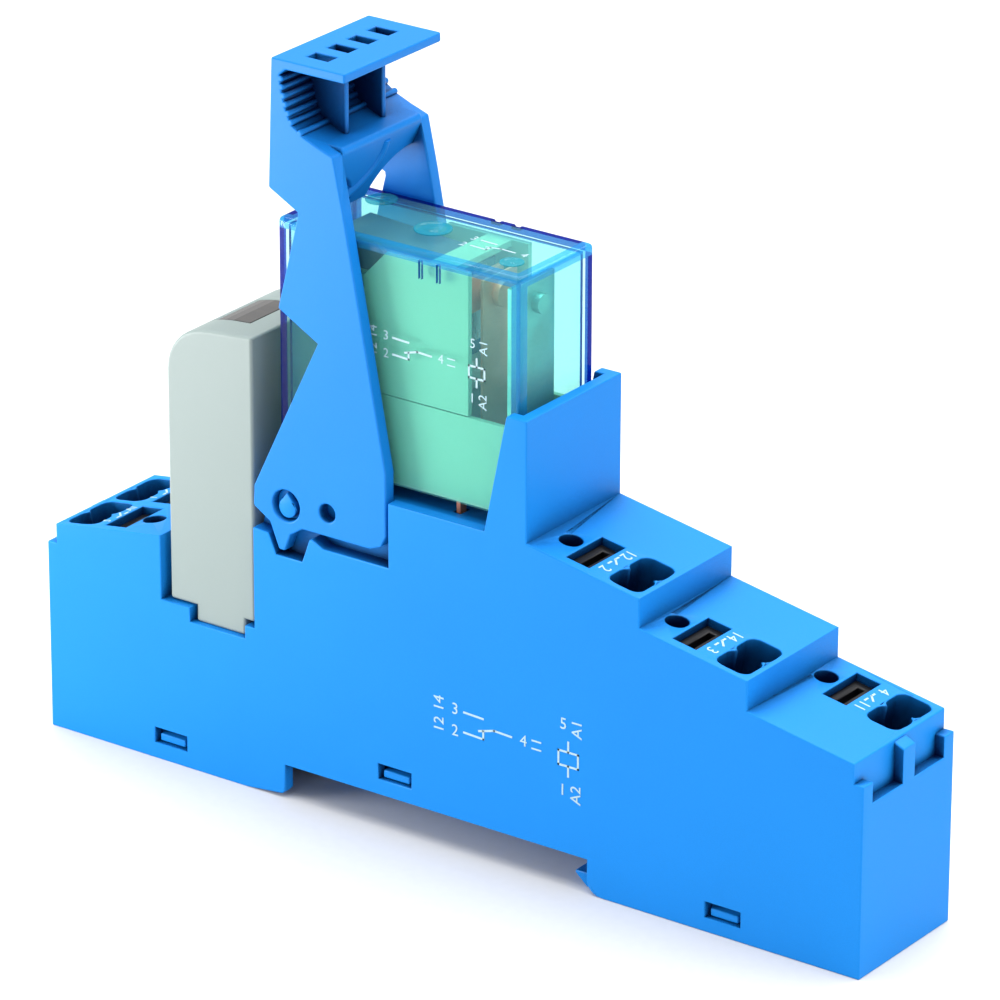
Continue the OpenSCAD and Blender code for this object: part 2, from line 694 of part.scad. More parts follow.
board_d = module_pin_d - 0.75;
module module_board() color("#1f6b45") {
    box(board_d - 1.2, board_d, module_f + 1.5, mirrored(module_f + 1.5), bay_z + 2.2, module_top - 4);
}

module module_led() color("#c7e06a") {
    translate([X(board_d + 2), 0, module_top - 8]) cylinder(r = 1.5, h = 3.2);
    translate([X(board_d + 2), 0, module_top - 4.8]) sphere(r = 1.5, $fn = 32);
    box(board_d + fit, board_d + 2, width / 2 - 0.7, width / 2 + 0.7, module_top - 7.8, module_top - 7);
}

module module_diode() color("#1b1b1d")
    translate([X(board_d + 1.35), 0, bay_z + 10]) cylinder(r = 1.3, h = 5);

module module_pins() color(steel)
    for (f = [row_front, row_back])
        box(module_pin_d - 0.25, module_pin_d + 0.25, f - 0.5, f + 0.5, bay_z - 3.6, bay_z + 6);

// ---------------------------------------------------------------- nodes

socket_housing();
base_cover();
rail_latch();
latch_spring();
contact_strip_11();
contact_strip_12();
contact_strip_14();
coil_strip(TA1, relay_pins[0]);  // contact_strip_a1
coil_strip(TA2, relay_pins[1]);  // contact_strip_a2
clamp_spring(T11);  // clamp_spring_11
clamp_spring(T12);  // clamp_spring_12
clamp_spring(T14);  // clamp_spring_14
clamp_spring(TA1);  // clamp_spring_a1
clamp_spring(TA2);  // clamp_spring_a2
release_button(T11);  // button_11
release_button(T12);  // button_12
release_button(T14);  // button_14
release_button(TA1);  // button_a1
release_button(TA2);  // button_a2
retaining_clip();
relay_cover();
relay_base();
insulating_wall();
bobbin();
coil_winding();
coil_core();
yoke();
armature();
return_spring();
actuator();
moving_contact();
common_terminal();
contact_nc();
contact_no();
coil_pins();
module_housing();
module_lens();
module_board();
module_led();
module_diode();
module_pins();
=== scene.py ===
"""Looks of a plug-in relay on its rail socket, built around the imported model."""

import json
import math

import bmesh
import bpy
from bpy.props import FloatProperty, FloatVectorProperty, PointerProperty
from mathutils import Matrix, Vector


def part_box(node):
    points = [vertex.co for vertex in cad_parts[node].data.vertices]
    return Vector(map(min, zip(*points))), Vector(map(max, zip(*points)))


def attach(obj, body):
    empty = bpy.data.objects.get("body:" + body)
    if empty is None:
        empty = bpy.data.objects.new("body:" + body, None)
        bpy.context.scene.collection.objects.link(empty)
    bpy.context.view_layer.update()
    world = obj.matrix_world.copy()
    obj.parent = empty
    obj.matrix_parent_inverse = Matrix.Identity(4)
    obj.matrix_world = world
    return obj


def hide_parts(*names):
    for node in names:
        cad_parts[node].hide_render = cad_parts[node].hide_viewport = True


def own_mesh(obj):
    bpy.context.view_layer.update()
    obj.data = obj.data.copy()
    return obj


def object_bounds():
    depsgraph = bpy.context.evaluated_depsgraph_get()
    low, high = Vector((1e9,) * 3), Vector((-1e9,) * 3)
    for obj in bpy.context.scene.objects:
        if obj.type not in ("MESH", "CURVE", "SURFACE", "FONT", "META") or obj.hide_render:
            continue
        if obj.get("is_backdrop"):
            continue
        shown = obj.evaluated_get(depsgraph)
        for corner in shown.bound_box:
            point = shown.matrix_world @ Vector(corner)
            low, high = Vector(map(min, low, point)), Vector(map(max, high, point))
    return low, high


bl_info = {
    "name": "Plug-in relay and socket",
    "version": (1, 0, 0),
    "blender": (4, 5, 0),
    "location": "3D View > Sidebar > Relay",
    "description": "Moulded, stamped and wound pieces of a plug-in relay on its socket",
    "category": "Object",
}

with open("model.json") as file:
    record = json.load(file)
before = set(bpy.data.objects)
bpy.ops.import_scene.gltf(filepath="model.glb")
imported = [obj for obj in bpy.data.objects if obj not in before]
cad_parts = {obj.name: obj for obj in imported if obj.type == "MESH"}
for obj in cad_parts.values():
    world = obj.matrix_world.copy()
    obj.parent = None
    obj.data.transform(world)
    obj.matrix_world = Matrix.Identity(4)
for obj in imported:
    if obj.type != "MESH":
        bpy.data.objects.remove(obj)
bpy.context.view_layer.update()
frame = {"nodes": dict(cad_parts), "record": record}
MM = 0.001
UP = Vector((0, 0, 1))
TERMINALS = ("11", "12", "14", "a1", "a2")
LATCH_TRAVEL = 1.8 * MM
BUTTON_TRAVEL = 1.6 * MM

# The curved rib under the clip's thumb plate, in millimetres from its top end to its low one
RIB_SPINE = ((-12.95, 1.0, 68.6), (-13.45, 1.1, 67.4), (-14.05, 0.6, 66.0),
             (-14.65, -0.5, 64.7), (-15.1, -2.1, 63.7), (-15.25, -3.6, 63.3))
RIB_RADIUS = 0.55 * MM

# Cuts in the clear cover, in millimetres along the relay: notches at the back edge of the
# top, and short upright grooves on the front face
NOTCHES, NOTCH_WIDTH = (-3.4, -1.0), 1.0
GROOVES, GROOVE_WIDTH, GROOVE_DEPTH = (-3.8, -1.7), 0.35, 2.7

# Round moulding marks on the cover's top: place along, place across and radius, in millimetres
TOP_MARKS = ((-15.3, 3.5, 1.6), (-6.4, -0.1, 1.9), (5.0, -3.0, 1.2))

# The insulating plate between the contacts, in millimetres
BARRIER_LOW, BARRIER_HIGH = (-15.6, -4.55, 57.2), (-8.2, -3.95, 60.1)
BARRIER_CHAMFER = 1.6 * MM

# Terminal, number on the front side and number on the back side of its mark
RIGHT_MARKS = (("12", "2", "12"), ("14", "3", "14"), ("11", "11", "4"))
LEFT_MARKS = (("a1", "A1", "5"), ("a2", "A2", "1"))

# Lamps: place, and the side of the square that glows
KEY_PLACE, FILL_PLACE, LAMP_SIZE = (-0.16, -0.12, 0.03), (0.18, -0.04, 0.03), 0.1
SUN_SPREAD = math.radians(80)

# The camera's place in metres, and its azimuth, elevation and roll in degrees
CAMERA_PLACE = (0.35785, -0.49395, 0.29036)
CAMERA_TURNS = (35.806, 22.768, 0.140)


# ------------------------------------------------------------------ settings


def length(name, text, default, low=0.0, high=10.0):
    """A size in millimetres, kept in metres."""
    return FloatProperty(
        name=name, description=text, default=default * MM, min=low * MM, max=high * MM,
        unit="LENGTH", subtype="DISTANCE", precision=5,
    )


def colour(name, text, default):
    """A linear colour."""
    return FloatVectorProperty(
        name=name, description=text, default=default, size=3, min=0, max=1, subtype="COLOR"
    )


class RelaySizes(bpy.types.PropertyGroup):
    """Rounding and wall sizes of the pieces."""

    socket_edge: length("Socket edge", "Rounding of the socket's edges", 0.15)
    clip_edge: length("Clip edge", "Rounding of the clip's edges", 0.2)
    cover_wall: length("Cover wall", "Wall of the clear cover", 0.8, 0.4, 1.2)
    cover_corner: length("Cover corner", "Rounding of the clear cover's corners", 0.5, 0.1, 1.5)
    module_edge: length("Module edge", "Rounding of the module's edges", 0.35, 0.05, 1)
    metal_edge: length("Metal edge", "Rounding of stamped edges", 0.05, 0.01, 0.2)
    wire: length("Wire", "Pitch of the coil's turns", 0.36, 0.2, 1)
    ink: length("Ink", "Thickness of the printed marks", 0.03, 0.005, 0.05)


class RelayColours(bpy.types.PropertyGroup):
    """Colours of the materials."""

    socket: colour("Socket", "Moulded socket", (0.006, 0.195, 0.60))
    clip: colour("Clip", "Moulded clip", (0.006, 0.18, 0.58))
    module: colour("Module", "Moulded indicator module", (0.21, 0.26, 0.25))
    mint: colour("Insulation", "Moulded insulating parts in the relay", (0.29, 0.48, 0.33))
    button: colour("Button", "Release buttons", (0.003, 0.003, 0.004))
    ivory: colour("Actuator", "Moulded actuator", (0.74, 0.70, 0.58))
    copper: colour("Copper", "Stamped contact parts", (0.86, 0.33, 0.20))
    steel: colour("Steel", "Plated steel parts", (0.50, 0.51, 0.52))
    winding: colour("Winding", "Enamelled wire", (0.34, 0.07, 0.025))
    ink: colour("Ink", "Printed marks", (0.36, 0.52, 0.57))


class StageSettings(bpy.types.PropertyGroup):
    """Camera and lamps."""

    lens: FloatProperty(name="Lens", description="Focal length in millimetres", default=245.07,
                        min=20, max=400)
    key: FloatProperty(name="Key", description="Power of the soft key lamp", default=0.56,
                       min=0, max=50, unit="POWER")
    fill: FloatProperty(name="Fill", description="Power of the soft lamp on the right",
                        default=0.12, min=0, max=50, unit="POWER")
    top: FloatProperty(name="Top", description="Strength of the soft light from above",
                       default=5.6, min=0, max=20)
    sky: FloatProperty(name="Sky", description="Strength of the even light", default=0.62,
                       min=0, max=3)


# ------------------------------------------------------------------ shaders


class Wire:
    """A shader value that Python's operators work on; each sum adds its Math node."""

    def __init__(self, tree, socket=None):
        self.tree, self.socket = tree, socket

    def node(self, kind, settings=None, out=0, **values):
        """Adds a node: its settings first, then the values or links of its sockets."""
        made = self.tree.nodes.new("ShaderNode" + kind)
        for key, value in (settings or {}).items():
            if key == "stops":
                ramp = made.color_ramp.elements
                while len(ramp) < len(value):
                    ramp.new(0.5)
                for stop, (place, shade) in zip(ramp, value):
                    stop.position, stop.color = place, shade
            else:
                setattr(made, key, value)
        for key, value in values.items():
            place = int(key[2:]) if key[:2] == "at" else key.replace("_", " ")
            if isinstance(value, Wire):
                self.tree.links.new(value.socket, made.inputs[place])
            else:
                made.inputs[place].default_value = value
        return Wire(self.tree, made.outputs[out])

    def math(self, operation, first, second):
        """One sum of two values or links."""
        return self.node("Math", {"operation": operation}, at0=first, at1=second)

    def __add__(self, other):
        return self.math("ADD", self, other)

    def __sub__(self, other):
        return self.math("SUBTRACT", self, other)

    def __rsub__(self, other):
        return self.math("SUBTRACT", other, self)

    def __mul__(self, other):
        return self.math("MULTIPLY", self, other)

    __radd__ = __add__
    __rmul__ = __mul__

    def blend(self, first, second):
        """A colour between two, by this factor."""
        return self.node("Mix", {"data_type": "RGBA"}, out=2, at0=self, at6=first, at7=second)


def start(name):
    """An empty material, its first wire and the object coordinates."""
    made = bpy.data.materials.new(name)
    made.use_nodes = True
    made.node_tree.nodes.clear()
    wire = Wire(made.node_tree)
    return made, wire, wire.node("TexCoord", out=3)


def finish(made, shader):
    """Ends a material at its output."""
    out = made.node_tree.nodes.new("ShaderNodeOutputMaterial")
    made.node_tree.links.new(shader.socket, out.inputs["Surface"])
    return made


def rgb(shade, factor=1.0):
    """A colour with alpha, made lighter or darker."""
    return [min(1, value * factor) for value in shade] + [1]


def moulded(name, shade, gloss=0.40, grain=0.05, relief=0.5, spread=0.10, hollow=None,
            level=0.5):
    """Moulded plastic: a fine spark-eroded grain, flow tone and a slightly uneven gloss.

    The grain is in millimetres, and the spread is the share by which the tone varies.
    Cavities, creases and recesses go darker towards the given colour by ambient occlusion:
    painted shade.
    """
    made, wire, place = start(name)
    flow = wire.node("TexNoise", out="Fac", Vector=place, Scale=55.0, Detail=3.0)
    pores = wire.node("TexNoise", out="Fac", Vector=place, Scale=1 / (grain * 4 * MM),
                      Detail=2.0)
    cells = wire.node("TexVoronoi", {"feature": "F1"}, out="Distance", Vector=place,
                      Scale=1 / (grain * 3 * MM))
    tone = flow * 0.6 + pores * 0.3 + cells * 0.25 - 0.1
    shade_now = tone.blend(rgb(shade, 1 - spread), rgb(shade, 1 + spread))
    # Painted shade: ambient occlusion darkens cavities, creases and recesses towards the given
    # colour
    if hollow:
        air = wire.node("AmbientOcclusion", {"samples": 5, "only_local": True}, out="AO",
                        Distance=6 * MM)
        depth = wire.node("MapRange", Value=air, From_Min=0.38, From_Max=0.8)
        shade_now = (depth * depth).blend(rgb(hollow), shade_now)
    gloss_now = gloss - 0.07 + flow * 0.08 + pores * 0.08
    height = pores * 0.6 + cells * 0.5
    bump = wire.node("Bump", Strength=relief, Distance=grain * 0.15 * MM, Height=height)
    return finish(made, wire.node(
        "BsdfPrincipled", Base_Color=shade_now, Roughness=gloss_now, IOR=1.5, Normal=bump,
        Specular_IOR_Level=level))


def stamped(name, shade, gloss=0.32, along=(1, 1, 12), tarnish=0.25, stain=(0.10, 0.06, 0.04),
            metal=0.9):
    """Rolled and stamped metal: drawn lines along one axis, with tarnish in patches."""
    made, wire, place = start(name)
    drawn = wire.node("Mapping", Vector=place, Scale=along)
    lines = wire.node("TexNoise", out="Fac", Vector=drawn, Scale=900.0, Detail=3.0)
    patch = wire.node("TexNoise", out="Fac", Vector=place, Scale=240.0, Detail=4.0)
    dull = wire.node("MapRange", Value=patch, From_Min=0.45, From_Max=0.75, To_Max=tarnish)
    tone = lines.blend(rgb(shade, 0.82), rgb(shade, 1.12))
    bump = wire.node("Bump", Strength=0.25, Distance=0.01 * MM, Height=lines)
    return finish(made, wire.node(
        "BsdfPrincipled", Base_Color=dull.blend(tone, rgb(stain)), Metallic=metal - dull * 0.4,
        Roughness=gloss + lines * 0.12 + dull * 0.4, Normal=bump))


def clear_wall(name, tint, skin, share, sides=0.3, gloss=0.05):
    """Thin clear tinted polycarbonate: a tint on what is behind, and a skin that shines more
    the flatter it is seen.

    The share is how much of the skin shows face on, and sides is what is added edge on.
    """
    made, wire, place = start(name)
    flow = wire.node("TexNoise", out="Fac", Vector=place, Scale=130.0, Detail=2.0)
    smear = wire.node("TexNoise", out="Fac", Vector=place, Scale=1200.0, Detail=3.0)
    bump = wire.node("Bump", Strength=0.12, Distance=0.03 * MM, Height=flow)
    shell = wire.node(
        "BsdfPrincipled", Base_Color=flow.blend(rgb(skin, 0.85), rgb(skin, 1.1)),
        Roughness=gloss + smear * 0.05, IOR=1.58, Normal=bump)
    through = wire.node("BsdfTransparent", Color=rgb(tint))
    flat = wire.node("LayerWeight", out="Facing", Blend=0.3)
    solid = flat * sides + share + smear * 0.02
    return finish(made, wire.node("MixShader", at0=solid, at1=through, at2=shell))


def enamel(name, shade):
    """Enamelled copper wire: warm, glossy, each turn a little different."""
    made, wire, place = start(name)
    turns = wire.node("TexNoise", out="Fac",
                      Vector=wire.node("Mapping", Vector=place, Scale=(0.2, 0.2, 3.0)),
                      Scale=1100.0, Detail=2.0)
    tone = turns.blend(rgb(shade, 0.6), rgb(shade, 1.5))
    return finish(made, wire.node(
        "BsdfPrincipled", Base_Color=tone, Metallic=0.55, Roughness=0.26 + turns * 0.14,
        Coat_Weight=0.5, Coat_Roughness=0.1))


def printed(name, shade):
    """Pad-printed ink, a little uneven in cover."""
    made, wire, place = start(name)
    cover = wire.node("TexNoise", out="Fac", Vector=place, Scale=5200.0, Detail=3.0)
    tone = cover.blend(rgb(shade, 0.86), rgb(shade, 1.05))
    return finish(made, wire.node(
        "BsdfPrincipled", Base_Color=tone, Roughness=0.5 + cover * 0.2))


def board_mask(name):
    """Circuit board: green solder mask with tracks showing through as paler lines."""
    made, wire, place = start(name)
    tracks = wire.node("TexBrick", {"offset": 0.35}, out="Fac", Vector=place, Scale=420.0,
                       Mortar_Size=0.06)
    grain = wire.node("TexNoise", out="Fac", Vector=place, Scale=3000.0)
    mask = (tracks * 0.6 + grain * 0.3).blend(rgb((0.012, 0.16, 0.07)), rgb((0.05, 0.34, 0.16)))
    return finish(made, wire.node(
        "BsdfPrincipled", Base_Color=mask, Roughness=0.3 + grain * 0.15, Coat_Weight=0.3))


def smoked(name):
    """Smoked lens: dark, polished, with faint flow streaks."""
    made, wire, place = start(name)
    streak = wire.node("TexNoise", out="Fac", Vector=wire.node(
        "Mapping", Vector=place, Scale=(1, 6, 1)), Scale=300.0, Detail=3.0)
    tone = streak.blend(rgb((0.012, 0.012, 0.015)), rgb((0.05, 0.045, 0.04)))
    return finish(made, wire.node(
        "BsdfPrincipled", Base_Color=tone, Roughness=0.08 + streak * 0.06, Coat_Weight=0.6))


def lamp_lens(name):
    """Tinted indicator lens, with a paler core."""
    made, wire, place = start(name)
    core = wire.node("TexNoise", out="Fac", Vector=place, Scale=700.0, Detail=2.0)
    tone = core.blend(rgb((0.42, 0.55, 0.05)), rgb((0.75, 0.85, 0.25)))
    return finish(made, wire.node(
        "BsdfPrincipled", Base_Color=tone, Roughness=0.15 + core * 0.05, Coat_Weight=0.5))


def stage_floor(name):
    """Plain pale floor paper."""
    made, wire, place = start(name)
    fibre = wire.node("TexNoise", out="Fac", Vector=place, Scale=900.0, Detail=4.0)
    tone = fibre.blend(rgb((0.56, 0.565, 0.57)), rgb((0.60, 0.603, 0.605)))
    return finish(made, wire.node("BsdfPrincipled", Base_Color=tone, Roughness=0.9))


FINISHES = {}


def make_finishes(c):
    """All the materials of the object, by a maker's name."""
    # Colour of the painted shade in the cavities of the blue plastics
    navy = (0.0, 0.004, 0.035)

    def pale(shade):
        """A lighter tone on a plastic's rounded edges: a painted highlight."""
        return [value * 0.7 + glow for value, glow in zip(shade, (0.10, 0.34, 0.38))]

    FINISHES.update(
        # Each plastic's second finish goes on its rounded edges: a lighter tone, painted
        # highlight
        socket=moulded("socket_plastic", c.socket, 0.42, hollow=navy, level=0.12),
        socket_worn=moulded("socket_plastic_edge", pale(c.socket), 0.30, hollow=navy, level=0.3),
        clip=moulded("clip_plastic", c.clip, 0.38, hollow=navy, level=0.15),
        clip_worn=moulded("clip_plastic_edge", pale(c.clip), 0.28, hollow=navy, level=0.35),
        module=moulded("module_plastic", c.module, 0.46, grain=0.04, spread=0.04),
        module_worn=moulded("module_plastic_edge", [v * 1.15 for v in c.module], 0.4, 0.04),
        mint=moulded("insulation_plastic", c.mint, 0.5, 0.08, 0.2, 0.07),
        mint_worn=moulded("insulation_edge", [min(1, v * 1.15) for v in c.mint], 0.4, 0.08),
        button=moulded("button_plastic", c.button, 0.34, spread=0.3, level=0.15),
        button_worn=moulded("button_edge", (0.02, 0.022, 0.024), 0.28),
        black=moulded("black_plastic", (0.008, 0.009, 0.011), 0.3, spread=0.3),
        ivory=moulded("actuator_plastic", c.ivory, 0.45, spread=0.05),
        copper=stamped("stamped_copper", c.copper, metal=0.3),
        teal_steel=stamped("blued_steel", (0.22, 0.50, 0.44), 0.34, tarnish=0.3),
        steel=stamped("plated_steel", c.steel, 0.28, stain=(0.14, 0.15, 0.16)),
        # The armature's steel is a dark blue: painted reflection of the blue clip and painted
        # shade inside the relay
        dark_steel=stamped("dark_steel", (0.05, 0.11, 0.22), 0.3, stain=(0.01, 0.03, 0.08)),
        spring=stamped("spring_steel", (0.42, 0.43, 0.45), 0.22, along=(1, 10, 1)),
        winding=enamel("enamelled_wire", c.winding),
        clear=clear_wall("clear_polycarbonate", (0.79, 0.985, 0.965), (0.2, 0.6, 0.66), 0.02),
        # The cover's edge bands: a dark copy for the shaded edges, painted shade, and a light
        # copy for the lit edges, painted highlight
        clear_deep=clear_wall("clear_edge_deep", (0.02, 0.11, 0.54), (0.001, 0.015, 0.26), 0.18,
                              0.15, 0.1),
        clear_light=clear_wall("clear_edge_light", (0.25, 0.66, 0.93), (0.03, 0.36, 0.68), 0.26),
        ring=clear_wall("clear_mould_mark", (0.35, 0.80, 0.88), (0.08, 0.52, 0.60), 0.14),
        ink=printed("pad_print", c.ink),
        board=board_mask("circuit_board"),
        smoked=smoked("smoked_lens"),
        led=lamp_lens("indicator_lens"),
    )


# ------------------------------------------------------------------ modelling


def only(*pieces):
    """Selects these objects alone; the last one is active."""
    bpy.ops.object.select_all(action="DESELECT")
    for piece in pieces:
        piece.select_set(True)
    bpy.context.view_layer.objects.active = pieces[-1]


def clear_picks(piece):
    """Leaves nothing selected in the mesh."""
    mesh = piece.data
    for part in (mesh.vertices, mesh.edges, mesh.polygons):
        part.foreach_set("select", [False] * len(part))


def pick_faces(piece, test):
    """Selects the faces whose middle and normal pass the test, and enters edit mode."""
    only(piece)
    clear_picks(piece)
    for face in piece.data.polygons:
        face.select = test(face.center, face.normal)
    bpy.ops.object.mode_set(mode="EDIT")
    bpy.ops.mesh.select_mode(type="FACE")


def pick_edges(piece, test):
    """Selects the edges whose ends pass the test, and enters edit mode."""
    only(piece)
    clear_picks(piece)
    points = piece.data.vertices
    for edge in piece.data.edges:
        edge.select = test(points[edge.vertices[0]].co, points[edge.vertices[1]].co)
    bpy.ops.object.mode_set(mode="EDIT")
    bpy.ops.mesh.select_mode(type="EDGE")


def done():
    """Back to object mode."""
    bpy.ops.object.mode_set(mode="OBJECT")


def settle(piece):
    """Puts the object's place into its mesh."""
    only(piece)
    bpy.ops.object.transform_apply(location=True, rotation=True, scale=True)


def apply(piece, kind, **settings):
    """Adds a modifier and applies it."""
    only(piece)
    made = piece.modifiers.new(kind.lower(), kind)
    for key, value in settings.items():
        setattr(made, key, value)
    bpy.ops.object.modifier_apply(modifier=made.name)


def soften(piece, width, segments=2, angle=32, worn=1):
    """Rounds a piece's outward edges and evens its shading.

    Edges sharper than the angle, in degrees, are rounded, and take the second material slot,
    which on the plastics holds a lighter tone: a painted highlight.
    """
    shape = bmesh.new()
    shape.from_mesh(piece.data)
    weight = shape.edges.layers.float.new("bevel_weight_edge")
    for edge in shape.edges:
        edge[weight] = edge.calc_face_angle_signed(0) > math.radians(angle)
    shape.to_mesh(piece.data)
    shape.free()
    # The rounded edges take the material slot of the painted highlight
    apply(piece, "BEVEL", width=width, segments=segments, limit_method="WEIGHT",
          use_clamp_overlap=False, material=worn, miter_outer="MITER_ARC", loop_slide=True)
    only(piece)
    bpy.ops.object.shade_smooth_by_angle(angle=math.radians(50))
    apply(piece, "WEIGHTED_NORMAL", keep_sharp=True, weight=60)


def dress(piece, *finishes):
    """Gives a piece its finishes, in the order of its material slots."""
    piece.data.materials.clear()
    for finish_name in finishes:
        piece.data.materials.append(FINISHES[finish_name])


def copied(node, name, whole=True):
    """A copy of a CAD node, its loose triangles merged.

    Whole faces are made of flat neighbours, except on meshes that are too pierced for it.
    """
    piece = bpy.data.objects.new(name, frame["nodes"][node].data.copy())
    bpy.context.scene.collection.objects.link(piece)
    piece.data.materials.clear()
    only(piece)
    bpy.ops.mesh.customdata_custom_splitnormals_clear()
    bpy.ops.object.mode_set(mode="EDIT")
    bpy.ops.mesh.select_all(action="SELECT")
    bpy.ops.mesh.remove_doubles(threshold=0.002 * MM)
    if whole:
        bpy.ops.mesh.dissolve_limited(angle_limit=math.radians(0.6))
    done()
    for face in piece.data.polygons:
        face.material_index = 0
    return piece


def stands_for(piece, body, slot, *nodes):
    """Fixes a finished piece to its body and hides the CAD nodes it replaces."""
    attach(piece, body)
    if nodes:
        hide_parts(*nodes)


def refined(node, body, slot, edge, finishes, name=None, segments=2, whole=True):
    """A CAD node's shape with rounded edges and its real finish."""
    piece = copied(node, name or node + "_piece", whole)
    soften(piece, edge, segments)
    dress(piece, *finishes)
    stands_for(piece, body, slot, node)


def keep(node, finish_name):
    """A CAD node that stays as it is, with its finish."""
    dress(frame["nodes"][node], finish_name)


def block(name, low, high):
    """A cube between two corners, in metres."""
    low, high = Vector(low), Vector(high)
    bpy.ops.mesh.primitive_cube_add(size=1, location=(low + high) / 2, scale=high - low)
    piece = bpy.context.object
    piece.name = name
    settle(piece)
    return piece


def cut(piece, cutter):
    """Takes one piece's shape out of another."""
    apply(piece, "BOOLEAN", object=cutter, operation="DIFFERENCE", solver="EXACT")
    bpy.data.objects.remove(cutter)


def joined(name, parts):
    """Several meshes as one."""
    only(*parts)
    bpy.ops.object.join()
    piece = bpy.context.object
    piece.name = name
    return piece


def tube(name, points, radius):
    """A round wire or bar along a smooth line of points, as a mesh."""
    bpy.ops.curve.primitive_bezier_curve_add()
    line = bpy.context.object
    spline = line.data.splines[0]
    spline.bezier_points.add(len(points) - 2)
    line.data.dimensions = "3D"
    for knot, point in zip(spline.bezier_points, points):
        knot.co = point
        knot.handle_left_type = knot.handle_right_type = "AUTO"
    line.data.bevel_depth = radius
    line.data.bevel_resolution = 4
    line.data.use_fill_caps = True
    only(line)
    bpy.ops.object.convert(target="MESH")
    piece = bpy.context.object
    piece.name = name
    settle(piece)
    return piece


# ------------------------------------------------------------------ pieces


class SocketOperator(bpy.types.Operator):
    """Housing, base cover, rail latch and wiring of the socket"""

    bl_idname = "relay.socket"
    bl_label = "Socket"

    def execute(self, context):
        sizes = context.scene.relay_sizes
        refined("socket_housing", "socket", "socket_plastic", sizes.socket_edge,
                ("socket", "socket_worn"), "socket_body", whole=False)
        refined("base_cover", "socket", "socket_plastic", sizes.socket_edge,
                ("socket", "socket_worn"))
        refined("rail_latch", "latch", "steel", sizes.metal_edge, ("steel", "steel"))
        self.spring("latch_spring", "latch_slide", (1, 0, 0), LATCH_TRAVEL)
        for t in TERMINALS:
            keep("contact_strip_" + t, "copper")
            self.spring("clamp_spring_" + t, f"button_{t}_press", UP, BUTTON_TRAVEL)
        return {"FINISHED"}

    def spring(self, node, joint, axis, travel):
        """A spring copied from its CAD node, given its finish and fixed to the socket."""
        piece = copied(node, node + "_piece", whole=False)
        bpy.ops.object.shade_smooth_by_angle(angle=math.radians(40))
        dress(piece, "spring")
        stands_for(piece, "socket", "steel", node)
        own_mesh(piece)


class ButtonsOperator(bpy.types.Operator):
    """Release buttons of the terminals"""

    bl_idname = "relay.buttons"
    bl_label = "Release buttons"

    def execute(self, context):
        sizes = context.scene.relay_sizes
        for t in TERMINALS:
            refined("button_" + t, f"button_{t}_body", "button_plastic", sizes.socket_edge,
                    ("button", "button_worn"))
        return {"FINISHED"}


class ClipOperator(bpy.types.Operator):
    """Retaining and ejector clip"""

    bl_idname = "relay.clip"
    bl_label = "Retaining clip"

    def execute(self, context):
        sizes = context.scene.relay_sizes
        refined("retaining_clip", "clip", "clip_plastic", sizes.clip_edge,
                ("clip", "clip_worn"), "clip_body")
        spine = [Vector(point) * MM for point in RIB_SPINE]
        rib = tube("clip_tongue_rib", spine, RIB_RADIUS)
        bpy.ops.object.shade_smooth_by_angle(angle=math.radians(50))
        dress(rib, "clip")
        stands_for(rib, "clip", "clip_plastic")
        return {"FINISHED"}


